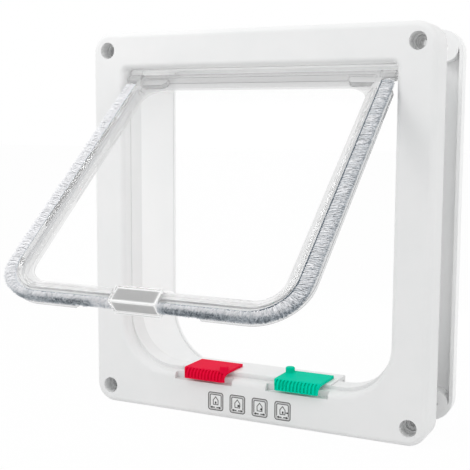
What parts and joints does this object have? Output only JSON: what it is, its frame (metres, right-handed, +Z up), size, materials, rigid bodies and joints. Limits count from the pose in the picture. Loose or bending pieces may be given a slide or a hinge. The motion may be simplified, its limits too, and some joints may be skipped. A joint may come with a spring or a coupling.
{
  "type": "cat flap",
  "caption": "Four-way locking cat flap: flanged tunnel frames for a door, a clear top-hung flap with pile strips and a magnet, and red and green slide locks on the sill.",
  "frame": {"origin": "centre of the four screw holes, in the plane where the front frame seats on the indoor face of the door", "axes": "+X to the right seen from indoors, +Y from indoors out through the door, +Z up"},
  "size_m": [0.234, 0.2102, 0.2504],
  "materials": {
    "white_moulding": "satin white moulding",
    "clear_moulding": "clear polished moulding",
    "clear_case": "clear moulding with bright edges",
    "grey_pile": "grey-blue woven pile",
    "bar_magnet": "plated bar",
    "pin_steel": "ground steel",
    "white_seat": "white moulding",
    "white_rail": "satin white moulding",
    "red_slide": "satin red moulding",
    "green_slide": "satin green moulding"
  },
  "bodies": {
    "frame": {"front_frame": "white_moulding", "hinge_pin_right": "pin_steel", "hinge_pin_left": "pin_steel", "hinge_seat_right": "white_seat", "hinge_seat_left": "white_seat", "lock_rail": "white_rail", "sill_magnet": "bar_magnet", "magnet_cover": "white_rail"},
    "outdoor_frame": {"rear_frame": "white_moulding"},
    "flap": {"flap_panel": "clear_moulding", "pile_strip_right": "grey_pile", "pile_strip_left": "grey_pile", "magnet_case_front": "clear_case", "magnet_case_back": "clear_case", "flap_magnet": "bar_magnet"},
    "red_lock": {"lock_slide_red": "red_slide", "lock_clip_red": "red_slide"},
    "green_lock": {"lock_slide_green": "green_slide", "lock_clip_green": "green_slide"}
  },
  "joints": [
    {"name": "flap_hinge", "type": "hinge", "parent": "frame", "child": "flap", "pos_m": [0, -0.0138, 0.0945], "axis": [1, 0, 0], "range_deg": [-38, 120]},
    {"name": "tunnel_slide", "type": "slide", "parent": "frame", "child": "outdoor_frame", "axis": [0, 1, 0], "range_m": [-0.0015, 0.006]},
    {"name": "red_lock_slide", "type": "slide", "parent": "frame", "child": "red_lock", "axis": [1, 0, 0], "range_m": [-0.0074, 0.0031]},
    {"name": "green_lock_slide", "type": "slide", "parent": "frame", "child": "green_lock", "axis": [1, 0, 0], "range_m": [-0.006, 0.0045]}
  ]
}
